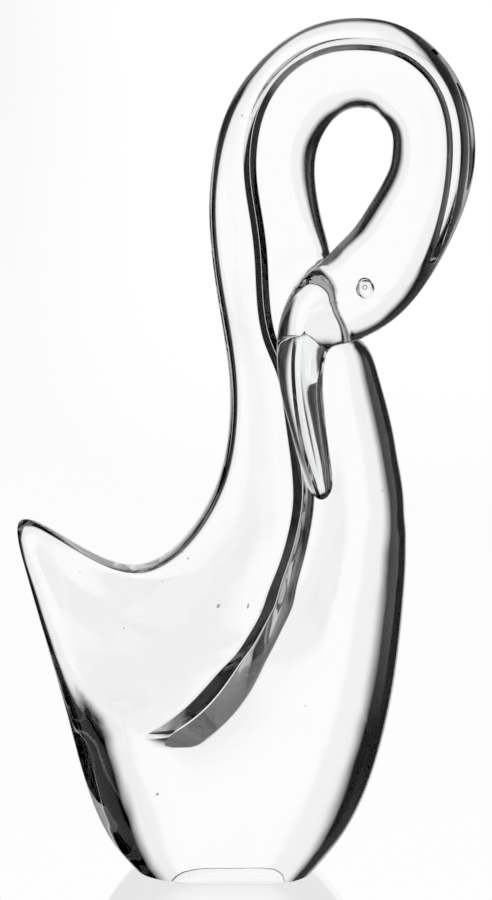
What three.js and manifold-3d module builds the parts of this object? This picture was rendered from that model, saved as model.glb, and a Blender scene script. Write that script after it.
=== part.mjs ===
// A tall swan worked hot from one gather of clear glass.
// It stands on a flat oval foot. The body swells up from the foot to a thin raised tail on the left and a
// full breast on the right, and draws out into a neck that loops over and comes down in front of itself.
// The head is welded to the side of the neck where they cross, and the bill hangs free before the breast.
// A furrow on the front parts the wing from the breast and runs on up the neck, and a fine one parts the
// bill. Millimetres, +Z up, +X from tail to breast, -Y the face with the head. The origin is the middle of
// the foot.
import * as THREE from "three";
import { mergeVertices } from "three/addons/utils/BufferGeometryUtils.js";
import Module from "manifold-3d";

const HEIGHT = 340;
const BODY_DEPTH = 61.2;
const FOOT_BEVEL = 0.2;

// The two edges of the flattened form, from the foot to the bill, in hundredths of the height.
// Each row is a station: tail or nape edge x, z, then breast or throat edge x, z.
const EDGES = [
  [-10.5, 0.0, 10.7, 0.0], // foot
  [-13.0, 2.9, 13.1, 2.9],
  [-15.0, 6.5, 15.3, 6.2],
  [-16.8, 11.8, 17.4, 11.1],
  [-18.2, 17.4, 19.0, 16.8],
  [-19.7, 23.0, 20.1, 22.5],
  [-21.4, 28.9, 20.8, 28.3],
  [-23.0, 34.9, 21.2, 33.1],
  [-24.0, 38.7, 21.4, 36.5],
  [-24.1, 41.2, 21.4, 38.7], // tip of the tail
  [-22.5, 41.7, 21.4, 40.4],
  [-19.0, 39.7, 21.2, 42.4],
  [-15.0, 37.1, 21.1, 44.4],
  [-10.7, 36.0, 20.8, 46.7], // dip of the back
  [-6.7, 37.6, 20.3, 49.2],
  [-3.3, 41.3, 19.8, 52.1],
  [-0.7, 46.2, 19.0, 55.4],
  [0.5, 51.8, 17.9, 59.1],
  [0.7, 57.2, 16.6, 62.5],
  [0.2, 62.1, 13.1, 64.9],
  [-0.6, 67.0, 12.5, 69.0],
  [-1.3, 71.9, 12.5, 72.8], // crossing, on the way up
  [-1.7, 77.3, 11.5, 76.4],
  [-1.4, 82.5, 10.7, 80.9],
  [-0.3, 87.6, 10.8, 84.6],
  [1.7, 91.9, 12.1, 87.5],
  [5.1, 96.0, 13.7, 89.1],
  [9.9, 99.1, 15.4, 89.7],
  [15.3, 100.0, 17.1, 89.4], // top of the loop
  [20.6, 99.1, 18.6, 88.3],
  [25.2, 95.6, 19.3, 86.7],
  [28.1, 90.4, 19.3, 85.0],
  [28.9, 84.5, 19.0, 83.0],
  [27.9, 79.2, 18.0, 80.9],
  [25.9, 74.4, 16.6, 78.7],
  [23.6, 70.3, 15.0, 76.2],
  [20.8, 66.7, 13.3, 74.5],
  [17.6, 64.3, 11.8, 72.8], // crossing, on the way down
  [14.7, 63.1, 9.8, 71.2],
  [13.0, 62.8, 7.7, 68.8], // forehead
  [11.9, 62.1, 6.5, 65.8],
  [11.4, 59.5, 6.1, 62.4],
  [11.5, 56.5, 6.5, 58.2],
  [11.8, 53.3, 7.4, 54.7],
  [12.2, 50.4, 8.3, 51.3],
  [12.5, 47.7, 9.2, 48.2],
  [12.4, 45.5, 9.9, 45.8], // tip of the bill
];
const LAST = EDGES.length - 1;
const TOP_OF_LOOP = EDGES.reduce((top, edges, i) => (edges[1] > EDGES[top][1] ? i : top), 0);

// How each quality changes from station to station, as [station, value] pairs. Lengths are in hundredths of
// the height as drawn. Those across the faces follow the body's depth, and the others follow the height.
// The breast side is the throat's side farther up, and the tail side is the nape's.
// Half the thickness on the breast side, by the furrow, and by the tail's edge.
const BREAST = [
  [0, 8.2], [2, 9.0], [4, 9.0], [6, 8.7], [8, 8.2], [10, 7.7], [12, 7.1], [14, 6.4], [16, 5.6],
  [18, 4.9], [20, 4.4], [22, 4.1], [24, 3.9], [28, 3.8], [33, 3.7], [36, 3.5], [38, 3.5], [40, 3.5],
  [42, 3.2], [44, 2.5], [46, 1.6],
];
const TAIL = [
  [0, 8.2], [2, 9.0], [3, 8.8], [4, 8.1], [6, 7.2], [8, 6.7], [10, 6.3], [12, 5.9], [14, 5.5],
  [16, 4.9], [18, 4.4], [20, 4.0], [22, 3.7], [24, 3.5], [28, 3.4], [33, 3.4], [36, 3.4], [38, 3.5],
  [40, 3.5], [42, 3.2], [44, 2.5], [46, 1.6],
];
const TAIL_RIM = [
  [0, 8.0], [2, 9.0], [3, 8.6], [4, 6.8], [5, 5.0], [6, 3.9], [7, 3.0], [8, 2.4], [9, 2.0], [11, 2.1],
  [13, 3.0], [15, 3.6], [17, 3.6], [20, 3.2], [24, 2.9], [33, 2.9], [35, 3.1], [37, 3.3], [40, 3.5],
  [42, 3.2], [44, 2.5], [46, 1.6],
];
// How far in from each edge it is rounded.
const BREAST_EDGE = [
  [0, 6.0], [1, 6.4], [2, 7.0], [4, 7.4], [8, 7.4], [14, 6.8], [16, 5.6], [17, 4.6], [18, 3.2],
  [19, 1.5], [21, 1.3], [22, 2.4], [23, 3.4], [33, 3.6], [36, 3.2], [42, 3.2], [44, 2.4], [46, 1.4],
];
const TAIL_EDGE = [
  [0, 9.4], [1, 10.6], [2, 13.0], [3, 14.4], [4, 9.0], [5, 3.8], [6, 2.9], [8, 2.3], [9, 1.7],
  [12, 1.4], [18, 1.3], [24, 1.2], [26, 1.4], [28, 2.4], [30, 4.0], [32, 4.4], [34, 4.0], [37, 3.2],
  [39, 3.4], [41, 3.8], [43, 3.0], [45, 2.0], [46, 1.4],
];
// How far the middle of a section sags back towards the foot, as a share of the section's width.
const SAG = [[0, 0], [3, 0.06], [6, 0.17], [9, 0.285], [11, 0.24], [13, 0.13], [15, 0.06], [18, 0]];
// How far the form leans to the back (+) or to the face with the head (-), so that the head always lies
// against the neck it is welded to.
const LEAN = [
  [15, 0], [19, 0.7], [22, 1.0], [25, 0.7], [28, -0.8], [31, -2.6], [34, -4.0], [36, -4.3], [38, -4.7],
  [39, -5.7], [41, -8.2], [43, -9.6], [46, -10.3],
];
// The furrow's floor: its place across the section, from -1 at the tail or nape to 1 at the breast or throat.
const FURROW_PLACE = [
  [4, -0.5], [5, -0.22], [6, -0.01], [7, 0.13], [9, 0.25], [10, 0.26], [11, 0.22], [12, 0.13],
  [13, 0.09], [15, 0.03], [16, -0.07], [17, -0.16], [18, -0.2], [20, -0.21], [22, -0.16], [23, -0.26],
  [24, -0.35], [25, -0.45], [26, -0.5], [28, -0.44], [30, -0.53], [32, -0.45], [33, -0.55], [34, -0.7],
  [35, -0.76], [38, 0.1], [42, 0.25], [44, 0.4], [46, 0.0],
];
// The furrow's half width and depth.
const FURROW_REACH = [
  [4, 3.4], [5, 3.4], [6, 3.1], [7, 2.6], [9, 2.1], [12, 1.7], [15, 1.35], [17, 0.95], [19, 0.8],
  [34, 0.8], [40, 0.5], [46, 0.5],
];
const FURROW_DEPTH = [
  [4, 4.2], [9, 4.0], [13, 3.6], [16, 2.6], [20, 1.5], [33, 1.4], [34.2, 1.2], [35, 0], [40, 0],
  [42, 0.5], [46, 0.4],
];
// How the edges are rounded: 2 rounds them as an ellipse, and more makes the faces flatter.
const ROUNDING = [[0, 2.2], [38, 2.2], [39, 2.1], [41, 1.5], [45, 1.5], [46, 2]];

// The eyes, pressed into the front and back of the head: x and z, then how far in front of the foot's middle
// each dimple starts, its half width and its dip.
const EYE = { x: 16.2, z: 69.5, front: 7.8, back: 0.6, reach: 1.05, dip: 0.7 };
const EYE_STEPS = 20;

// The skin's mesh: points from edge to edge of each face, and rows between two stations.
const LOBE_STEPS = 8;
const FURROW_STEPS = 6;
const FACE_STEPS = 2 * LOBE_STEPS + FURROW_STEPS;
const RING_POINTS = 2 * FACE_STEPS;
const ROWS_PER_STATION = 2;
const FURROW_START = 4.5; // the station where the furrow's rounded end starts
const FURROW_END = 0.3; // and how many stations long that end is
const FLOOR = 0.02; // how wide the furrow's round floor is, as a share of the furrow
const FULL_BREAST = 0.77; // how far from furrow to breast edge the thickness has become the breast's
const TIP_SHARE = 0.9; // the stretch of the last station that is rounded off
const FOOT_ROWS = [0, 0.02, 0.15];
const TIP_ROWS = [0.25, 0.5, 0.72, 0.88, 0.97];

const percent = HEIGHT / 100;
const depthPercent = BODY_DEPTH / 18;
const lerp = THREE.MathUtils.lerp;

// The value at station u on a smooth curve through a list of [station, value] pairs.
function along(pairs, u) {
  const last = pairs.length - 1;
  if (u <= pairs[0][0]) return pairs[0][1];
  if (u >= pairs[last][0]) return pairs[last][1];
  const i = pairs.findIndex(([place]) => place > u) - 1;
  const slope = (j) =>
    j === 0 || j === last ? 0 : (pairs[j + 1][1] - pairs[j - 1][1]) / (pairs[j + 1][0] - pairs[j - 1][0]);
  const [start, from] = pairs[i];
  const [end, to] = pairs[i + 1];
  const span = end - start;
  const t = (u - start) / span;
  const bend = (1 - t) * slope(i) * span * t * (1 - t) - t * slope(i + 1) * span * t * (1 - t);
  return lerp(from, to, t * t * (3 - 2 * t)) + bend;
}

// Every quality of every station, one row each, in the order that skinPoint() reads them.
const stations = EDGES.map((edges, i) => [
  ...edges.map((share) => share * percent),
  ...[BREAST, TAIL, TAIL_RIM, LEAN, FURROW_DEPTH].map((pairs) => along(pairs, i) * depthPercent),
  ...[BREAST_EDGE, TAIL_EDGE, FURROW_REACH].map((pairs) => along(pairs, i) * percent),
  ...[SAG, FURROW_PLACE, ROUNDING].map((pairs) => along(pairs, i)),
]);

// The row before or after the list's ends carries on in a straight line.
function stationRow(i) {
  if (i < 0) return stations[0].map((value, c) => 2 * value - stations[1][c]);
  if (i > LAST) return stations[LAST].map((value, c) => 2 * value - stations[LAST - 1][c]);
  return stations[i];
}

// A smoothing spline draws in at each bend, so its rows are first pushed out by as much.
const pushed = stations.map((row, i) =>
  i === 0 || i === LAST
    ? row
    : row.map((value, c) => value - (stationRow(i - 1)[c] - 2 * value + stationRow(i + 1)[c]) / 6),
);

function pushedRow(i) {
  if (i < 0) return pushed[0].map((value, c) => 2 * value - pushed[1][c]);
  if (i > LAST) return pushed[LAST].map((value, c) => 2 * value - pushed[LAST - 1][c]);
  return pushed[i];
}

// All qualities at place u, on a uniform cubic B-spline, so that the glass flows with no break in its bend.
function qualities(u) {
  const i = Math.min(Math.floor(u), LAST - 1);
  const t = u - i;
  const weights = [(1 - t) ** 3, 3 * t ** 3 - 6 * t ** 2 + 4, -3 * t ** 3 + 3 * t ** 2 + 3 * t + 1, t ** 3];
  const rows = [i - 1, i, i + 1, i + 2].map(pushedRow);
  return rows[0].map((_, c) => weights.reduce((sum, weight, r) => sum + (weight * rows[r][c]) / 6, 0));
}

// Steps from 0 to 1, closest together at both ends and most of all at the start.
function spread(share) {
  return 0.375 * (1 - Math.cos(Math.PI * share)) + 0.25 * (1 - Math.cos((Math.PI / 2) * share));
}

// Where the step from edge to edge of a face lies, from -1 to 1, and how far it is down the furrow.
function stepAcross(step, place, reach) {
  if (step <= LOBE_STEPS) return [-1 + (place - reach + 1) * spread(step / LOBE_STEPS), 0];
  if (step >= FACE_STEPS - LOBE_STEPS) {
    return [1 - (1 - place - reach) * spread((FACE_STEPS - step) / LOBE_STEPS), 0];
  }
  const even = (step - FACE_STEPS / 2) / (FURROW_STEPS / 2);
  const fromFloor = even * Math.sqrt(Math.abs(even));
  const lip = Math.hypot(1, FLOOR);
  return [place + reach * fromFloor, (lip - Math.hypot(fromFloor, FLOOR)) / (lip - FLOOR)];
}

// 0 at an edge, 1 at full thickness, and round between.
function rounded(share, fullness = 2) {
  return (1 - (1 - THREE.MathUtils.clamp(share, 0, 1)) ** fullness) ** (1 / fullness);
}

// One point of the skin: at place u along the form, and the given point round the section.
function skinPoint(u, point) {
  const [tailX, tailZ, breastX, breastZ, ...rest] = qualities(u);
  const [breast, tailSide, rim, lean, furrowDepth, breastEdge, tailEdge, furrowReach, ...shares] = rest;
  const [sag, place, fullness] = shares;
  const tail = new THREE.Vector2(tailX, tailZ);
  const chord = new THREE.Vector2(breastX, breastZ).sub(tail);
  const halfWidth = chord.length() / 2;
  const farSide = point > FACE_STEPS;
  const step = farSide ? RING_POINTS - point : point;
  const opening = rounded((u - FURROW_START) / FURROW_END);
  const reach = Math.min(furrowReach / halfWidth, (1 - Math.abs(place)) * 0.6) * (0.3 + 0.7 * opening);
  const [across, downFurrow] = stepAcross(step, place, reach);

  const fromTail = (1 + across) * halfWidth;
  const fromBreast = (1 - across) * halfWidth;
  const onTail = THREE.MathUtils.smoothstep((1 + across) / (1 + place), 0, 1);
  const onBreast = THREE.MathUtils.smoothstep((across - place) / (1 - place), 0, FULL_BREAST);
  const thickness =
    (rim + (tailSide - rim) * onTail + (breast - tailSide) * onBreast) *
    rounded(fromTail / Math.min(tailEdge, halfWidth), fullness) *
    rounded(fromBreast / Math.min(breastEdge, halfWidth), fullness);
  const face = farSide ? thickness : furrowDepth * opening * downFurrow - thickness;

  const close = endRounding(u, tailZ);
  const middle = tail.clone().addScaledVector(chord, 0.5);
  const spine = new THREE.Vector2(-chord.y, chord.x).normalize();
  const flat = middle
    .addScaledVector(chord, (across / 2) * close.width)
    .addScaledVector(spine, -sag * 2 * halfWidth * (1 - across ** 2));
  return new THREE.Vector3(flat.x, lean + face * close.thickness, flat.y);
}

// How far the section is closed in: a bevel round the foot, and a round tip to the bill.
function endRounding(u, height) {
  if (height < FOOT_BEVEL && u < 1) {
    const inset = FOOT_BEVEL - Math.sqrt(FOOT_BEVEL ** 2 - (FOOT_BEVEL - height) ** 2);
    const halfWidth = ((EDGES[0][2] - EDGES[0][0]) * percent) / 2;
    return { width: 1 - inset / halfWidth, thickness: 1 - inset / (BREAST[0][1] * depthPercent) };
  }
  const past = Math.max(0, (u - (LAST - TIP_SHARE)) / TIP_SHARE);
  const round = Math.sqrt(Math.max(0, 1 - past ** 2));
  return { width: round, thickness: round };
}

// The places of the skin's rows between two places along the form.
function rowPlaces(from, to) {
  const places = [];
  for (let i = from * ROWS_PER_STATION; i <= to * ROWS_PER_STATION; i++) places.push(i / ROWS_PER_STATION);
  if (from === 0) places.splice(0, 1, ...FOOT_ROWS);
  if (to === LAST) places.splice(-2, 2, ...TIP_ROWS.map((share) => LAST - TIP_SHARE * (1 - share)));
  return places;
}

// A closed length of the form: a capped cylinder whose skin is moved onto the sections.
function lengthOfGlass(from, to) {
  const places = rowPlaces(from, to);
  const cylinder = new THREE.CylinderGeometry(1, 1, 1, RING_POINTS, places.length - 1);
  cylinder.deleteAttribute("normal");
  cylinder.deleteAttribute("uv");
  const skin = mergeVertices(cylinder);
  const spots = skin.getAttribute("position");
  for (let i = 0; i < spots.count; i++) {
    const [x, y, z] = [spots.getX(i), spots.getY(i), spots.getZ(i)];
    const u = places[Math.round((y + 0.5) * (places.length - 1))];
    const turn = (Math.atan2(x, z) / (2 * Math.PI) + 1) % 1;
    const point = Math.round(turn * RING_POINTS) % RING_POINTS;
    const onAxis = Math.hypot(x, z) < 0.5;
    const spot = onAxis ? skinPoint(u, 0).lerp(skinPoint(u, FACE_STEPS), 0.5) : skinPoint(u, point);
    spots.setXYZ(i, spot.x, spot.y, spot.z);
  }
  return skin;
}

const wasm = await Module();
wasm.setup();

function toSolid(geometry) {
  return new wasm.Manifold(
    new wasm.Mesh({
      numProp: 3,
      vertProperties: geometry.getAttribute("position").array,
      triVerts: new Uint32Array(geometry.index.array),
    }),
  );
}

function toGeometry(solid) {
  const mesh = solid.getMesh();
  const geometry = new THREE.BufferGeometry();
  geometry.setAttribute("position", new THREE.BufferAttribute(mesh.vertProperties, 3));
  geometry.setIndex(new THREE.BufferAttribute(mesh.triVerts, 1));
  geometry.computeVertexNormals();
  return geometry;
}

// The form crosses itself where the head is welded to the neck, so it is made in two lengths and joined.
const rising = toSolid(lengthOfGlass(0, TOP_OF_LOOP));
const falling = toSolid(lengthOfGlass(TOP_OF_LOOP, LAST));

// A ball that presses a dimple into a face at the given depth, from the front (-1) or from the back (1).
function eyeBall(depth, side) {
  const radius = ((EYE.reach ** 2 + EYE.dip ** 2) / (2 * EYE.dip)) * percent;
  const clear = side * (radius - EYE.dip * percent);
  const spot = [EYE.x * percent, -depth * depthPercent + clear, EYE.z * percent];
  return wasm.Manifold.sphere(radius, EYE_STEPS).translate(spot);
}

// The two lengths meet on one flat section, where faces this close count as one.
const MEETING = 0.002;
const welded = rising.setTolerance(MEETING).add(falling.setTolerance(MEETING));
const seeing = welded.subtract(eyeBall(EYE.front, -1)).subtract(eyeBall(EYE.back, 1));

const clearGlass = new THREE.MeshStandardMaterial({
  color: 0xf4f7f7,
  roughness: 0.02,
  metalness: 0,
  transparent: true,
  opacity: 0.35,
});

const swan = new THREE.Group();
const figure = new THREE.Mesh(toGeometry(seeing), clearGlass);
figure.name = "swan";
swan.add(figure);

export default swan;
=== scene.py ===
# %% [markdown]
# # A glass swan
# The object is a tall swan worked hot from one gather of clear glass. A glassmaker swells and flattens the
# gather, presses a furrow down its front, pulls the tail out to one side and the neck up, loops the neck
# over, and welds the head to the side of the neck while all of it is still soft.
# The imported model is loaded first. It fixes the size, and everything here is fitted to it.

from math import cos, floor, hypot, pi, radians, sin, sqrt

import bmesh
import bpy
from mathutils import Matrix, Vector
from mathutils.kdtree import KDTree


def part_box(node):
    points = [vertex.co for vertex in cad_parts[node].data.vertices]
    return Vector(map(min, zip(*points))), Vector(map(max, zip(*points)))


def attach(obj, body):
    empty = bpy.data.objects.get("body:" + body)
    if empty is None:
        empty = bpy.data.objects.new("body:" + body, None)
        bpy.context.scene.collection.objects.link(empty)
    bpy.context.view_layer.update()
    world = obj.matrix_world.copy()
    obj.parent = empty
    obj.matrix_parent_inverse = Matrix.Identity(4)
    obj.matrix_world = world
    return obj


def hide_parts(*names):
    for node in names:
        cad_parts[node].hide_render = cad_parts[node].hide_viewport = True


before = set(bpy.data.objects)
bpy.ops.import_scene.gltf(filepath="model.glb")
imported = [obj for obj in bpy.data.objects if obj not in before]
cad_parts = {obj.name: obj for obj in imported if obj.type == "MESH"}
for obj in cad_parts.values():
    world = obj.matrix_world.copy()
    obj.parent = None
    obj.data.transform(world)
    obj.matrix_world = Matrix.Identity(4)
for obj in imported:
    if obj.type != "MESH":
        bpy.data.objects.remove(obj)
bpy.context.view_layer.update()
low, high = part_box("swan")
HEIGHT = round((high - low).z, 3)  # the smooth skin passes the true height by a tenth of a millimetre
PERCENT = HEIGHT / 100
print("the solid swan stands", round((high - low).z * 1000, 1), "mm high")

# %% [markdown]
# ## The outline, as stations
# The form is a flattened one, so two edges tell most of it: the tail and nape on one side, and the breast and
# throat on the other. They are given at stations from the foot to the tip of the bill. Typed one by one, such
# numbers are never quite smooth, and glass shows each fault, because it bends the light twice. So they are
# used as the hull of a smooth curve, not joined up.

# %% The two edges, in hundredths of the height: nape x, z, then breast x, z
EDGES = [
    (-10.5, 0.0, 10.7, 0.0),  # foot
    (-13.0, 2.9, 13.1, 2.9),
    (-15.0, 6.5, 15.3, 6.2),
    (-16.8, 11.8, 17.4, 11.1),
    (-18.2, 17.4, 19.0, 16.8),
    (-19.7, 23.0, 20.1, 22.5),
    (-21.4, 28.9, 20.8, 28.3),
    (-23.0, 34.9, 21.2, 33.1),
    (-24.0, 38.7, 21.4, 36.5),
    (-24.1, 41.2, 21.4, 38.7),  # tip of the tail
    (-22.5, 41.7, 21.4, 40.4),
    (-19.0, 39.7, 21.2, 42.4),
    (-15.0, 37.1, 21.1, 44.4),
    (-10.7, 36.0, 20.8, 46.7),  # dip of the back
    (-6.7, 37.6, 20.3, 49.2),
    (-3.3, 41.3, 19.8, 52.1),
    (-0.7, 46.2, 19.0, 55.4),
    (0.5, 51.8, 17.9, 59.1),
    (0.7, 57.2, 16.6, 62.5),
    (0.2, 62.1, 13.1, 64.9),
    (-0.6, 67.0, 12.5, 69.0),
    (-1.3, 71.9, 12.5, 72.8),  # crossing, on the way up
    (-1.7, 77.3, 11.5, 76.4),
    (-1.4, 82.5, 10.7, 80.9),
    (-0.3, 87.6, 10.8, 84.6),
    (1.7, 91.9, 12.1, 87.5),
    (5.1, 96.0, 13.7, 89.1),
    (9.9, 99.1, 15.4, 89.7),
    (15.3, 100.0, 17.1, 89.4),  # top of the loop
    (20.6, 99.1, 18.6, 88.3),
    (25.2, 95.6, 19.3, 86.7),
    (28.1, 90.4, 19.3, 85.0),
    (28.9, 84.5, 19.0, 83.0),
    (27.9, 79.2, 18.0, 80.9),
    (25.9, 74.4, 16.6, 78.7),
    (23.6, 70.3, 15.0, 76.2),
    (20.8, 66.7, 13.3, 74.5),
    (17.6, 64.3, 11.8, 72.8),  # crossing, on the way down
    (14.7, 63.1, 9.8, 71.2),
    (13.0, 62.8, 7.7, 68.8),  # forehead
    (11.9, 62.1, 6.5, 65.8),
    (11.4, 59.5, 6.1, 62.4),
    (11.5, 56.5, 6.5, 58.2),
    (11.8, 53.3, 7.4, 54.7),
    (12.2, 50.4, 8.3, 51.3),
    (12.5, 47.7, 9.2, 48.2),
    (12.4, 45.5, 9.9, 45.8),  # tip of the bill
]
LAST = len(EDGES) - 1
TOP_OF_LOOP = max(range(len(EDGES)), key=lambda i: EDGES[i][1])
print("stations:", len(EDGES), "and the top of the loop is number", TOP_OF_LOOP)

# %% [markdown]
# ## Thickness
# A photograph gives the outline, but the thickness has to be judged. Clear glass tells it by its dark rims:
# the thinner a rim is, the blunter the edge. The body is a little less than half as deep as it is wide, and
# the neck is rounder. Each quality is a short list of pairs of station and value, with a smooth curve through
# them. The breast side is the throat's side farther up, and the tail side is the nape's. Each side has its
# own thickness and its own round edge, and the tail is thinner by its edge than by the furrow.

# %% Half the thickness, in hundredths of the height
BREAST = [
    (0, 8.2), (2, 9.0), (4, 9.0), (6, 8.7), (8, 8.2), (10, 7.7), (12, 7.1), (14, 6.4), (16, 5.6), (18, 4.9),
    (20, 4.4), (22, 4.1), (24, 3.9), (28, 3.8), (33, 3.7), (36, 3.5), (38, 3.5), (40, 3.5), (42, 3.2),
    (44, 2.5), (46, 1.6),
]
TAIL = [
    (0, 8.2), (2, 9.0), (3, 8.8), (4, 8.1), (6, 7.2), (8, 6.7), (10, 6.3), (12, 5.9), (14, 5.5), (16, 4.9),
    (18, 4.4), (20, 4.0), (22, 3.7), (24, 3.5), (28, 3.4), (33, 3.4), (36, 3.4), (38, 3.5), (40, 3.5),
    (42, 3.2), (44, 2.5), (46, 1.6),
]  # by the furrow
TAIL_RIM = [
    (0, 8.0), (2, 9.0), (3, 8.6), (4, 6.8), (5, 5.0), (6, 3.9), (7, 3.0), (8, 2.4), (9, 2.0), (11, 2.1),
    (13, 3.0), (15, 3.6), (17, 3.6), (20, 3.2), (24, 2.9), (33, 2.9), (35, 3.1), (37, 3.3), (40, 3.5),
    (42, 3.2), (44, 2.5), (46, 1.6),
]  # by the edge
print("the body is", round(2 * max(half for _, half in BREAST) * PERCENT * 1000), "mm thick at most")

# %% How far in from each edge it is rounded, in hundredths of the height
BREAST_EDGE = [
    (0, 6.0), (1, 6.4), (2, 7.0), (4, 7.4), (8, 7.4), (14, 6.8), (16, 5.6), (17, 4.6), (18, 3.2), (19, 1.5),
    (21, 1.3), (22, 2.4), (23, 3.4), (33, 3.6), (36, 3.2), (42, 3.2), (44, 2.4), (46, 1.4),
]
TAIL_EDGE = [
    (0, 9.4), (1, 10.6), (2, 13.0), (3, 14.4), (4, 9.0), (5, 3.8), (6, 2.9), (8, 2.3), (9, 1.7), (12, 1.4),
    (18, 1.3), (24, 1.2), (26, 1.4), (28, 2.4), (30, 4.0), (32, 4.4), (34, 4.0), (37, 3.2), (39, 3.4),
    (41, 3.8), (43, 3.0), (45, 2.0), (46, 1.4),
]
ROUNDING = [(0, 2.2), (38, 2.2), (39, 2.1), (41, 1.5), (45, 1.5), (46, 2)]
print("the edges are an ellipse where the rounding is 2, fuller above it, and closer to a bevel below it")

# %% [markdown]
# ## Lean and furrow
# The loop leans, because the head has to pass in front of the neck that it is welded to. The back sags
# between the tail and the neck. The furrow starts low on the body, follows it up, and runs on along the neck
# and over the loop. Its lower end is where the tool was first pressed in, so it is blunt, and not drawn out.

# %% How it leans and sags
LEAN = [
    (15, 0), (19, 0.7), (22, 1.0), (25, 0.7), (28, -0.8), (31, -2.6), (34, -4.0), (36, -4.3), (38, -4.7),
    (39, -5.7), (41, -8.2), (43, -9.6), (46, -10.3),
]  # in hundredths of the height, + to the back
SAG = [
    (0, 0), (3, 0.06), (6, 0.17), (9, 0.285), (11, 0.24), (13, 0.13), (15, 0.06), (18, 0),
]  # as a share of the section's width
print("the bill's tip stands", round(-LEAN[-1][1] * PERCENT * 1000), "mm in front of the foot's middle")

# %% The furrow: where it runs, half its width, and its depth
FURROW_PLACE = [
    (4, -0.5), (5, -0.22), (6, -0.01), (7, 0.13), (9, 0.25), (10, 0.26), (11, 0.22), (12, 0.13), (13, 0.09),
    (15, 0.03), (16, -0.07), (17, -0.16), (18, -0.2), (20, -0.21), (22, -0.16), (23, -0.26), (24, -0.35),
    (25, -0.45), (26, -0.5), (28, -0.44), (30, -0.53), (32, -0.45), (33, -0.55), (34, -0.7), (35, -0.76),
    (38, 0.1), (42, 0.25), (44, 0.4), (46, 0.0),
]  # from -1 at the tail or nape to 1 at the breast or throat
FURROW_REACH = [
    (4, 3.4), (5, 3.4), (6, 3.1), (7, 2.6), (9, 2.1), (12, 1.7), (15, 1.35), (17, 0.95), (19, 0.8),
    (34, 0.8), (40, 0.5), (46, 0.5),
]  # in hundredths of the height, and so is the depth
FURROW_DEPTH = [
    (4, 4.2), (9, 4.0), (13, 3.6), (16, 2.6), (20, 1.5), (33, 1.4), (34.2, 1.2), (35, 0),
    (40, 0), (42, 0.5), (46, 0.4),
]
FURROW_START, FURROW_END = 4.5, 0.3  # where its blunt end starts, and how long that is, in stations
LEAST_REACH = 0.3  # how wide the furrow is at its very end, as a share of its full width
WIDEST_REACH = 0.6  # the most that it takes of the section between its own middle and the nearer edge
print("the furrow is", round(FURROW_DEPTH[0][1] * PERCENT * 1000), "mm deep at its lower end")


# %% The value at any place on a smooth curve through such pairs
def along(pairs, u):
    """The curve passes through each pair, and its slope there is that of its two neighbours."""
    if u <= pairs[0][0]:
        return pairs[0][1]
    if u >= pairs[-1][0]:
        return pairs[-1][1]
    i = next(k for k, pair in enumerate(pairs) if pair[0] > u) - 1

    def slope(j):
        if j in (0, len(pairs) - 1):
            return 0
        return (pairs[j + 1][1] - pairs[j - 1][1]) / (pairs[j + 1][0] - pairs[j - 1][0])

    (start, first), (end, second) = pairs[i], pairs[i + 1]
    span = end - start
    t = (u - start) / span
    bend = ((1 - t) * slope(i) - t * slope(i + 1)) * span * t * (1 - t)
    return first + (second - first) * t * t * (3 - 2 * t) + bend


print("half the neck's thickness at station 21:", round(along(BREAST, 21) * PERCENT * 1000, 1), "mm")

# %% [markdown]
# ## One smooth skin
# A cubic B-spline bends without a break, which is what molten glass does. It draws in a little at each bend,
# so its hull is first pushed out by as much.

# %% The hull
DEPTHS = (BREAST, TAIL, TAIL_RIM, LEAN, FURROW_DEPTH)
LENGTHS = (BREAST_EDGE, TAIL_EDGE, FURROW_REACH)
SHARES = (SAG, FURROW_PLACE, ROUNDING)


def station(i):
    edges = [share * PERCENT for share in EDGES[i]]
    lengths = [along(pairs, i) * PERCENT for pairs in DEPTHS + LENGTHS]
    return edges + lengths + [along(pairs, i) for pairs in SHARES]


def carried_on(rows):
    """The rows with one more at each end, in a straight line with its two neighbours."""
    before = [2 * a - b for a, b in zip(rows[0], rows[1])]
    after = [2 * a - b for a, b in zip(rows[-1], rows[-2])]
    return [before] + rows + [after]


stations = [station(i) for i in range(LAST + 1)]
hull = [list(row) for row in stations]
for i in range(1, LAST):
    hull[i] = [
        here - (before - 2 * here + after) / 6
        for before, here, after in zip(stations[i - 1], stations[i], stations[i + 1])
    ]
hull = carried_on(hull)
print("hull:", len(hull), "rows of", len(hull[0]), "qualities")


# %% Every quality at a place along the form
def qualities(u):
    i = min(floor(u), LAST - 1)
    t = u - i
    weights = (
        (1 - t) ** 3,
        3 * t**3 - 6 * t**2 + 4,
        -3 * t**3 + 3 * t**2 + 3 * t + 1,
        t**3,
    )
    columns = zip(*hull[i:i + 4])
    return [sum(w * value for w, value in zip(weights, column)) / 6 for column in columns]


print("the tail's edge at station 9:", [round(value * 1000, 1) for value in qualities(9)[:2]], "mm")

# %% [markdown]
# ## The section
# Cut anywhere, the glass is a long oval. Its front has a lobe on either side of the furrow, and its back is
# divided into the same steps. They lie closest together where the surface turns most: at the edges, at the
# furrow's lips and on its floor. The foot was ground flat, so it ends in a narrow bevel. The bill ends round.

# %% How finely a section is divided
LOBE_STEPS = 18
FURROW_STEPS = 18
FACE_STEPS = 2 * LOBE_STEPS + FURROW_STEPS
RING_POINTS = 2 * FACE_STEPS
ROWS_PER_STATION = 12
FLOOR = 0.02  # how wide the furrow's round floor is, as a share of the furrow


def spread(share):
    """Steps from 0 to 1, closest together at both ends and most of all at the start."""
    return 0.375 * (1 - cos(pi * share)) + 0.25 * (1 - cos(pi / 2 * share))


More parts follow.
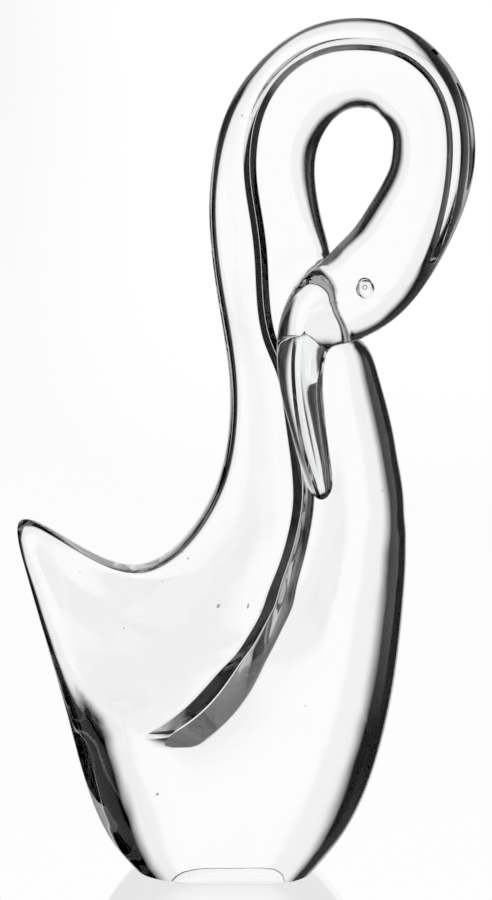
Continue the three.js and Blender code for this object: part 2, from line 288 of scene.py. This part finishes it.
def step_across(step, place, reach):
    """How far across the section a step is, from -1 to 1, and how far it is down the furrow, from 0 to 1."""
    if step <= LOBE_STEPS:
        return -1 + (place - reach + 1) * spread(step / LOBE_STEPS), 0
    if step >= FACE_STEPS - LOBE_STEPS:
        return 1 - (1 - place - reach) * spread((FACE_STEPS - step) / LOBE_STEPS), 0
    even = (step - FACE_STEPS / 2) / (FURROW_STEPS / 2)
    from_floor = even * sqrt(abs(even))
    lip = hypot(1, FLOOR)
    return place + reach * from_floor, (lip - hypot(from_floor, FLOOR)) / (lip - FLOOR)


print("points round each section:", RING_POINTS)

# %% How its edges and its ends are rounded
TIP_SHARE = 0.9  # how much of the last station the round tip of the bill takes
FOOT_BEVEL = 0.0002
FULL_BREAST = 0.77  # how far from the furrow to the breast's edge the thickness has reached the breast's


def rounded(share, fullness=2):
    """0 at an edge, 1 at full thickness, and round between."""
    share = min(max(share, 0), 1)
    return (1 - (1 - share) ** fullness) ** (1 / fullness)


def eased(share):
    share = min(max(share, 0), 1)
    return share * share * (3 - 2 * share)


def end_rounding(u, height):
    """How far the section is drawn in: a bevel round the foot, and a round tip to the bill."""
    if u < 1 and height < FOOT_BEVEL:
        inset = FOOT_BEVEL - sqrt(FOOT_BEVEL**2 - (FOOT_BEVEL - max(height, 0)) ** 2)
        half_width = (EDGES[0][2] - EDGES[0][0]) * PERCENT / 2
        return 1 - inset / half_width, 1 - inset / (BREAST[0][1] * PERCENT)
    past = max(0, (u - (LAST - TIP_SHARE)) / TIP_SHARE)
    shrink = sqrt(max(0, 1 - past**2))
    return shrink, shrink


print("halfway in from an edge the glass has", round(rounded(0.5) * 100), "% of its thickness")


# %% Where each point of a section lies
def skin_point(u, point):
    tail_x, tail_z, breast_x, breast_z, *rest = qualities(u)
    breast, tail_side, rim, lean, furrow_depth, *rest = rest
    breast_edge, tail_edge, furrow_reach, sag, place, fullness = rest
    tail = Vector((tail_x, tail_z))
    chord = Vector((breast_x, breast_z)) - tail
    half_width = chord.length / 2
    far_side = point > FACE_STEPS
    step = RING_POINTS - point if far_side else point
    opening = rounded((u - FURROW_START) / FURROW_END)
    reach = min(furrow_reach / half_width, (1 - abs(place)) * WIDEST_REACH)
    reach *= LEAST_REACH + (1 - LEAST_REACH) * opening
    across, down_furrow = step_across(step, place, reach)

    from_tail, from_breast = (1 + across) * half_width, (1 - across) * half_width
    thickness = rim + (tail_side - rim) * eased((1 + across) / (1 + place))
    thickness += (breast - tail_side) * eased((across - place) / (1 - place) / FULL_BREAST)
    thickness *= rounded(from_tail / min(tail_edge, half_width), fullness)
    thickness *= rounded(from_breast / min(breast_edge, half_width), fullness)
    face = thickness if far_side else furrow_depth * opening * down_furrow - thickness

    width, close = end_rounding(u, tail_z)
    spine = Vector((-chord.y, chord.x)).normalized()
    flat = tail + chord * (0.5 + across / 2 * width) - spine * sag * 2 * half_width * (1 - across**2)
    return Vector((flat.x, lean + face * close, flat.y))


edge = skin_point(8, FACE_STEPS) * 1000
print("the breast's edge at station 8:", [round(value, 1) for value in edge], "mm")

# %% [markdown]
# ## Drawing out the glass
# A length of the form starts as a circle. Its edges are extruded row by row, and each new row is set on its
# section, as if the glass were pulled out of the gather. The form crosses itself where the head is welded
# on, so it is made in two lengths, and a boolean welds them. Each length has its own material slot until
# then, which tells one from the other at the weld.

# %% Rows along the form, and how a row is pulled out of the last one
FOOT_ROWS = [0, 0.003, 0.009, 0.02, 0.06]
TIP_ROWS = 16
FIRST_RADIUS = 0.01


def row_places(start, end):
    places = [start + i / ROWS_PER_STATION for i in range((end - start) * ROWS_PER_STATION + 1)]
    if start == 0:
        places = FOOT_ROWS + places[1:]
    if end == LAST:
        body = [u for u in places if u < LAST - TIP_SHARE]
        tip = [LAST - TIP_SHARE * (1 - sin(pi / 2 * k / TIP_ROWS)) for k in range(TIP_ROWS)]
        places = body + tip
    return places


def next_ring(bm, ring):
    """Extrudes a closed ring of vertices, and gives the new ring in the same order."""
    edges = [bm.edges.get((ring[k - 1], ring[k])) for k in range(len(ring))]
    made = bmesh.ops.extrude_edge_only(bm, edges=edges)["geom"]
    fresh = {v for v in made if isinstance(v, bmesh.types.BMVert)}
    return [next(e.other_vert(v) for e in v.link_edges if e.other_vert(v) in fresh) for v in ring]


def rim_of(ring):
    """The edges that join a ring of vertices."""
    pairs = [(ring[k - 1], ring[k]) for k in range(len(ring))]
    return [edge for last, vert in pairs for edge in vert.link_edges if edge.other_vert(vert) is last]


def piece_of(bm, name):
    """Makes a bmesh a piece of the scene."""
    mesh = bpy.data.meshes.new(name)
    bm.to_mesh(mesh)
    bm.free()
    piece = bpy.data.objects.new(name, mesh)
    bpy.context.scene.collection.objects.link(piece)
    return piece


# %% Draw out the two lengths
def draw_out(name, places, slot):
    bm = bmesh.new()
    ring = bmesh.ops.create_circle(bm, cap_ends=False, segments=RING_POINTS, radius=FIRST_RADIUS)["verts"]
    first = ring
    for row, u in enumerate(places):
        if row:
            ring = next_ring(bm, ring)
        for point, vert in enumerate(ring):
            vert.co = skin_point(u, point)
    for rim in (first, ring):
        bmesh.ops.contextual_create(bm, geom=rim_of(rim))
    bmesh.ops.recalc_face_normals(bm, faces=bm.faces)
    piece = piece_of(bm, name)
    for _ in range(2):
        piece.data.materials.append(None)
    for polygon in piece.data.polygons:
        polygon.material_index = slot
    print(name, "has", len(piece.data.vertices), "vertices")
    return piece


swan = draw_out("glass_swan", row_places(0, TOP_OF_LOOP), 0)
falling = draw_out("falling_neck", row_places(TOP_OF_LOOP, LAST)[1:], 1)

# %% [markdown]
# ## The weld
# A boolean fuses the head with the neck behind it. The top of the loop is left open by one row, because two
# flat ends that lie on each other confuse a boolean, and a bridge closes it afterwards. Hot glass never keeps
# a sharp inner corner, so the seam is smoothed.


# %% Fuse the two lengths
def combine(operation, other):
    """Fuses the swan with another piece, or presses that piece into it, and takes the piece away."""
    step = swan.modifiers.new("combine", "BOOLEAN")
    step.operation = operation
    step.solver = "EXACT"
    step.object = other
    graph = bpy.context.evaluated_depsgraph_get()
    swan.data = bpy.data.meshes.new_from_object(swan.evaluated_get(graph))
    swan.modifiers.clear()
    bpy.data.objects.remove(other)


combine("UNION", falling)
bm = bmesh.new()
bm.from_mesh(swan.data)
ends = [f for f in bm.faces if len(f.verts) == RING_POINTS and f.calc_center_median().z > HEIGHT / 2]
open_rims = [e for f in ends for e in f.edges]
bmesh.ops.delete(bm, geom=ends, context="FACES_ONLY")
bmesh.ops.bridge_loops(bm, edges=open_rims)
print("fused:", len(bm.faces), "faces")

# %% Find the seam
FILLET = 0.003
MERGE_DISTANCE = 0.0003
BRIDGE_HEIGHT = 0.9 * HEIGHT  # above it the two lengths meet too, at the bridge, but not in a corner


def joins_lengths(edge):
    """Whether an edge has a face of each length."""
    slots = {face.material_index for face in edge.link_faces}
    return len(edge.link_faces) == 2 and len(slots) == 2


touched = {v for e in bm.edges if joins_lengths(e) for v in e.verts if v.co.z < BRIDGE_HEIGHT}
bmesh.ops.remove_doubles(bm, verts=[v for v in bm.verts if v in touched], dist=MERGE_DISTANCE)
seam = [v for v in bm.verts if v in touched]
seam_tree = KDTree(len(seam))
for i, v in enumerate(seam):
    seam_tree.insert(v.co, i)
seam_tree.balance()
near = [v for v in bm.verts if seam_tree.find(v.co)[2] < FILLET]
print("seam:", len(seam), "vertices, and near it:", len(near))

# %% Round the seam
SMOOTHING_ROUNDS = 14
ABOVE_FOOT = 0.01  # the foot is one face with many corners, and stays so
for _ in range(SMOOTHING_ROUNDS):
    bmesh.ops.smooth_vert(bm, verts=near, factor=0.5, use_axis_x=True, use_axis_y=True, use_axis_z=True)
wide = [f for f in bm.faces if len(f.verts) > 4 and f.calc_center_median().z > ABOVE_FOOT]
bmesh.ops.triangulate(bm, faces=wide)
bmesh.ops.delete(bm, geom=[e for e in bm.edges if not e.link_faces], context="EDGES")
print("open edges after the weld:", sum(len(e.link_faces) != 2 for e in bm.edges))
bm.to_mesh(swan.data)
bm.free()
print("welded:", len(swan.data.polygons), "faces")

# %% [markdown]
# ## The eyes
# A round rod is pressed into each side of the hot head and leaves a shallow dimple with a crisp rim. One eye
# is seen through the other, so the two draw rings in the glass between them.

# %% Press a dimple into each side of the head
EYE_X, EYE_FRONT, EYE_BACK, EYE_Z = 16.2, 7.8, 0.6, 69.5
EYE_REACH, EYE_DIP = 1.05, 0.7
ROD_SEGMENTS, ROD_RINGS = 48, 32
rod_radius = (EYE_REACH**2 + EYE_DIP**2) / (2 * EYE_DIP)
bm = bmesh.new()
for depth, side in ((EYE_FRONT, -1), (EYE_BACK, 1)):
    spot = Vector((EYE_X, -depth + side * (rod_radius - EYE_DIP), EYE_Z)) * PERCENT
    made = bmesh.ops.create_uvsphere(
        bm, u_segments=ROD_SEGMENTS, v_segments=ROD_RINGS, radius=rod_radius * PERCENT
    )["verts"]
    bmesh.ops.rotate(bm, verts=made, cent=(0, 0, 0), matrix=Matrix.Rotation(pi / 2, 3, "X"))
    bmesh.ops.translate(bm, verts=made, vec=spot)
combine("DIFFERENCE", piece_of(bm, "rod_ends"))
print("each eye is", round(2 * EYE_REACH * PERCENT * 1000, 1), "mm across")

# %% [markdown]
# ## Smooth glass, and its few crisp edges
# The skin is shaded smooth all over, as fire leaves it. Only the rims of the eyes and the ground edge of the
# foot are crisp. Smooth shading would smear the light over them, so their edges are marked sharp.

# %% Mark the crisp edges
CRISP_ANGLE = radians(28)
STRAIGHT_DOWN = -0.999  # a face of the foot's flat underside has a normal that points lower than this
bm = bmesh.new()
bm.from_mesh(swan.data)
for face in bm.faces:
    face.smooth = True
for edge in bm.edges:
    corner = edge.verts[0].co / PERCENT
    by_eye = hypot(corner.x - EYE_X, corner.z - EYE_Z) < 2 * EYE_REACH
    undersides = sum(face.normal.z < STRAIGHT_DOWN for face in edge.link_faces)
    edge.smooth = undersides != 1 and not (by_eye and edge.calc_face_angle(0) > CRISP_ANGLE)
print("open edges after the eyes:", sum(len(e.link_faces) != 2 for e in bm.edges))
print("crisp edges:", sum(not e.smooth for e in bm.edges))
bm.to_mesh(swan.data)
bm.free()

# %% [markdown]
# ## Seed bubbles
# A gather always holds a few specks of air. Those near the furrow were pulled long when the neck was drawn.
# Each is a cavity, so its surface faces inward, to the air.

# %% Seal a few seeds in the glass
SEEDS = [
    (-0.4, -2.2, 31.8, 0.16, 1.6, 35),
    (-7.2, 3.0, 9.0, 0.14, 1, 0),
    (3.2, 1.0, 31.3, 0.10, 3.2, 15),
    (-3.7, -1.0, 38.9, 0.09, 1, 0),
    (-4.0, 2.0, 37.0, 0.09, 1.4, 60),
    (-7.1, -2.0, 34.7, 0.07, 1, 0),
    (-11.6, 0.5, 28.5, 0.09, 1.3, 20),
    (-16.8, 0.3, 35.4, 0.07, 1, 0),
    (4.6, 2.0, 25.6, 0.08, 1.5, 40),
    (9.8, -2.5, 20.2, 0.07, 1, 0),
    (2.4, 0.4, 88.8, 0.08, 1.8, 50),
    (17.6, -1.0, 45.2, 0.07, 1, 0),
]  # x, y, z and radius in hundredths of the height, how many times as long, and tilt in degrees
bm = bmesh.new()
bm.from_mesh(swan.data)
for x, y, z, radius, stretch, tilt in SEEDS:
    made = bmesh.ops.create_icosphere(bm, subdivisions=2, radius=radius * PERCENT)["verts"]
    bmesh.ops.scale(bm, verts=made, vec=(1, 1, stretch))
    bmesh.ops.rotate(bm, verts=made, cent=(0, 0, 0), matrix=Matrix.Rotation(radians(tilt), 3, "Y"))
    bmesh.ops.translate(bm, verts=made, vec=Vector((x, y, z)) * PERCENT)
    walls = {face for vert in made for face in vert.link_faces}
    bmesh.ops.reverse_faces(bm, faces=list(walls))
    for wall in walls:
        wall.smooth = True
bm.to_mesh(swan.data)
bm.free()
print("seeds:", len(SEEDS), "and faces in all:", len(swan.data.polygons))

# %% [markdown]
# ## Clear glass
# Solid glass has no colour of its own here. All its drawing, the black rims and the white heart, is the room
# bent through it, so the finish is a plain clear shader and the care goes into the room.


# %% The glass
def node(tree, kind, **settings):
    made = tree.nodes.new(kind)
    for name, value in settings.items():
        setattr(made, name, value)
    return made


glass = bpy.data.materials.new("clear_glass")
glass.use_nodes = True
shader = glass.node_tree.nodes["Principled BSDF"]
shader.inputs["Base Color"].default_value = (0.98, 0.985, 0.985, 1)
shader.inputs["Metallic"].default_value = 0
shader.inputs["Roughness"].default_value = 0
shader.inputs["IOR"].default_value = 1.5
shader.inputs["Transmission Weight"].default_value = 1
print("a clear shader of index", shader.inputs["IOR"].default_value)

# %% [markdown]
# ## Striae
# Glass that was turned and pulled keeps faint ribs along the pull, where it cooled unevenly. They are far too
# low to model. A noise that is stretched upwards drives a bump of a fraction of a millimetre, which makes the
# rims a little streaky.

# %% Faint ribs along the pull
ACROSS, UPWARD = 60, 7  # how many ribs there are in a metre, across the pull and along it
RIB_HEIGHT = 0.0003
tree = glass.node_tree
spot = node(tree, "ShaderNodeTexCoord").outputs["Object"]
stretched = node(tree, "ShaderNodeMapping")
stretched.inputs["Scale"].default_value = (ACROSS, ACROSS, UPWARD)
tree.links.new(spot, stretched.inputs["Vector"])
ribs = node(tree, "ShaderNodeTexNoise")
ribs.inputs["Scale"].default_value = 1
ribs.inputs["Detail"].default_value = 2
tree.links.new(stretched.outputs["Vector"], ribs.inputs["Vector"])
relief = node(tree, "ShaderNodeBump")
relief.inputs["Strength"].default_value = 1
relief.inputs["Distance"].default_value = RIB_HEIGHT
tree.links.new(ribs.outputs[0], relief.inputs["Height"])
tree.links.new(relief.outputs["Normal"], shader.inputs["Normal"])
swan.data.materials.clear()
swan.data.materials.append(glass)
print("ribs:", round(RIB_HEIGHT * 1000, 2), "mm high at most")

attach(swan, "root")
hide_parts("swan")

# %% [markdown]
# ## The room
# Glass is photographed against a bright screen with dark walls on both sides. Light that passes straight
# through stays white. Light that the rims bend aside comes from the walls, and draws them black. Dimmer
# screens farther round, and a grey wall in front, keep the swan clear when it is seen from another side.


# %% Shader arithmetic for the room
def maths(tree, operation, first, second=None, third=None):
    made = node(tree, "ShaderNodeMath", operation=operation)
    for socket, value in zip(made.inputs, (first, second, third)):
        if value is None:
            continue
        if isinstance(value, (int, float)):
            socket.default_value = value
        else:
            tree.links.new(value, socket)
    return made.outputs[0]


BLEND = 0.3  # how softly an edge runs into its screen


def band(tree, angle, start, end, soft):
    """1 between two angles in degrees and 0 outside them, with soft ends."""
    past_start = maths(tree, "DIVIDE", maths(tree, "SUBTRACT", angle, start), soft)
    before_end = maths(tree, "DIVIDE", maths(tree, "SUBTRACT", end, angle), soft)
    rise = maths(tree, "SMOOTH_MIN", past_start, 1, BLEND)
    fall = maths(tree, "SMOOTH_MIN", before_end, 1, BLEND)
    return maths(tree, "MAXIMUM", maths(tree, "MINIMUM", rise, fall), 0)


# %% A screen behind, dark walls at the sides, and the wall in front
SCREENS = [
    (-23, 29, 8, -46, 28, 10, 0.93),
    (-17, 27, 14, -36, 22, 14, 1.02),
    (58, 105, 5, -22, 28, 10, 0.8),
    (-68, -62, 3, -46, 28, 10, 0.25),
    (-112, -72, 5, -46, 28, 10, 0.6),
    (-10, 75, 8, -80, -24, 6, 0.14),
]  # left, right and soft edge, bottom, top and soft edge, in degrees, then brightness
FRONT_WALL = [(118, 0.4), (150, 0.6)]  # how far round it starts on either side, in degrees, then brightness
world = bpy.data.worlds.new("room")
bpy.context.scene.world = world
world.use_nodes = True
tree = world.node_tree
tree.nodes.clear()
direction = node(tree, "ShaderNodeSeparateXYZ")
tree.links.new(node(tree, "ShaderNodeTexCoord").outputs["Generated"], direction.inputs[0])
round_turn = maths(tree, "ARCTAN2", direction.outputs["X"], direction.outputs["Y"])
azimuth = maths(tree, "MULTIPLY", round_turn, 180 / pi)
height = maths(tree, "MULTIPLY", maths(tree, "ARCSINE", direction.outputs["Z"]), 180 / pi)
light = 0
for start, brightness in FRONT_WALL:
    wall = maths(tree, "GREATER_THAN", maths(tree, "ABSOLUTE", azimuth), start)
    light = maths(tree, "MAXIMUM", maths(tree, "MULTIPLY", wall, brightness), light)
for left, right, side_edge, bottom, top, edge, brightness in SCREENS:
    screen = maths(tree, "MULTIPLY", band(tree, azimuth, left, right, side_edge), brightness)
    screen = maths(tree, "MULTIPLY", screen, band(tree, height, bottom, top, edge))
    light = maths(tree, "MAXIMUM", light, screen)
print("screens:", len(SCREENS), "and steps of the front wall:", len(FRONT_WALL))

# %% What the glass sees, and the white that stands behind it
WHITE = (1, 1, 1, 1)
room = node(tree, "ShaderNodeBackground")
room.inputs["Color"].default_value = WHITE
tree.links.new(light, room.inputs["Strength"])
backdrop = node(tree, "ShaderNodeBackground")
backdrop.inputs["Color"].default_value = WHITE
backdrop.inputs["Strength"].default_value = 1.02
pick = node(tree, "ShaderNodeMixShader")
tree.links.new(node(tree, "ShaderNodeLightPath").outputs["Is Camera Ray"], pick.inputs["Fac"])
tree.links.new(room.outputs[0], pick.inputs[1])
tree.links.new(backdrop.outputs[0], pick.inputs[2])
tree.links.new(pick.outputs[0], node(tree, "ShaderNodeOutputWorld").inputs["Surface"])
print("the backdrop has a brightness of", round(backdrop.inputs["Strength"].default_value, 2))

# %% [markdown]
# ## The table
# The swan stands on a sheet of white acrylic. Seen low, it mirrors a little of the foot. Only the camera sees
# the sheet: through the glass it would hide the room's lower half, which the dark rims come from.

# %% White acrylic
TABLE_REACH = 60
bm = bmesh.new()
bmesh.ops.create_grid(bm, x_segments=1, y_segments=1, size=TABLE_REACH)
table = piece_of(bm, "table")
acrylic = bpy.data.materials.new("white_acrylic")
acrylic.use_nodes = True
tree = acrylic.node_tree
tree.nodes.clear()
glow = node(tree, "ShaderNodeEmission")
glow.inputs["Color"].default_value = WHITE
glow.inputs["Strength"].default_value = 1.0
polish = node(tree, "ShaderNodeBsdfGlossy")
polish.inputs["Color"].default_value = WHITE
polish.inputs["Roughness"].default_value = 0.02
fresnel = node(tree, "ShaderNodeFresnel")
fresnel.inputs["IOR"].default_value = 1.35
sheet = node(tree, "ShaderNodeMixShader")
tree.links.new(fresnel.outputs[0], sheet.inputs["Fac"])
tree.links.new(glow.outputs[0], sheet.inputs[1])
tree.links.new(polish.outputs[0], sheet.inputs[2])
pick = node(tree, "ShaderNodeMixShader")
tree.links.new(node(tree, "ShaderNodeLightPath").outputs["Is Camera Ray"], pick.inputs["Fac"])
tree.links.new(node(tree, "ShaderNodeBsdfTransparent").outputs[0], pick.inputs[1])
tree.links.new(sheet.outputs[0], pick.inputs[2])
tree.links.new(pick.outputs[0], node(tree, "ShaderNodeOutputMaterial").inputs["Surface"])
table.data.materials.append(acrylic)
print("the table reaches", TABLE_REACH, "m each way")

# %% [markdown]
# ## The camera
# A long lens from well back keeps the swan's proportions as they are. It is level with the body and looks
# slightly down, which opens the ellipse of the foot.

# %% The camera
AIM = Vector((0.0089, 0, 0.1697))
DISTANCE = 1.35
PITCH = radians(8)
camera_data = bpy.data.cameras.new("camera")
camera_data.lens = 136
camera_data.sensor_width = 36
camera_data.clip_end = 200
camera = bpy.data.objects.new("camera", camera_data)
bpy.context.scene.collection.objects.link(camera)
camera.location = AIM + Vector((0, -cos(PITCH), sin(PITCH))) * DISTANCE
camera.rotation_euler = (pi / 2 - PITCH, 0, 0)
bpy.context.scene.camera = camera
bpy.context.scene.view_settings.view_transform = "Standard"
print("the camera stands", round(camera.location.z, 2), "m above the table")
